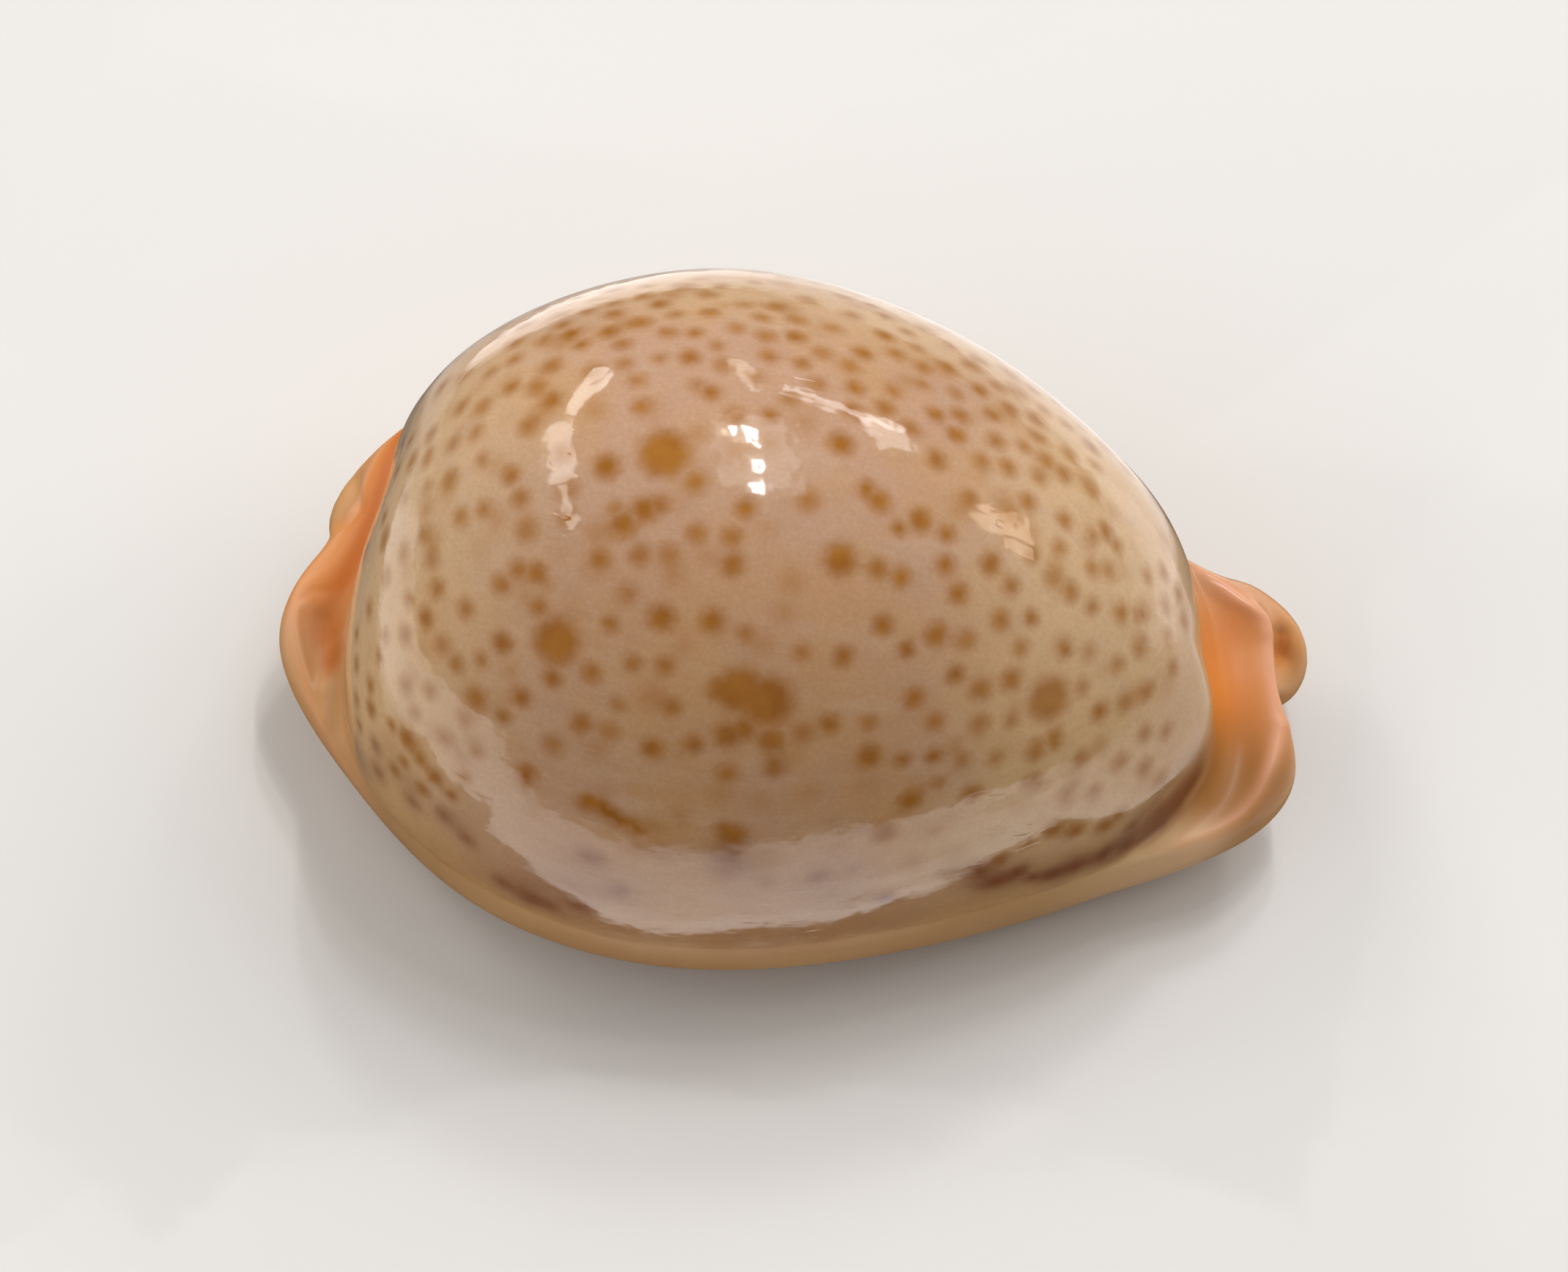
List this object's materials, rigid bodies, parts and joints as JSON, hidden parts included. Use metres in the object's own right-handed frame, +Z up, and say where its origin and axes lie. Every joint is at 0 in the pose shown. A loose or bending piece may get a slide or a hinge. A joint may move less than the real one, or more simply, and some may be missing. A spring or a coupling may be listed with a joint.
{
  "type": "cowrie shell",
  "caption": "Small glossy cowrie shell: a humped, spotted dome with produced, rimmed ends and a long toothed aperture underneath. Rests on its base as a display or shore-scene piece.",
  "frame": {"origin": "on the surface it stands on, under the middle of its bounding box", "axes": "+X towards the front (siphonal) end, +Y towards the columellar side (the outer lip is on -Y), +Z up through the dorsum"},
  "size_m": [0.036, 0.0236, 0.0198],
  "materials": {
    "enamel": "very glossy natural enamel: pinkish beige with soft golden-brown spots, purple-brown blotches on the margins, cream base and orange ends"
  },
  "bodies": {
    "root": {"cowrie_shell": "enamel"}
  },
  "joints": []
}
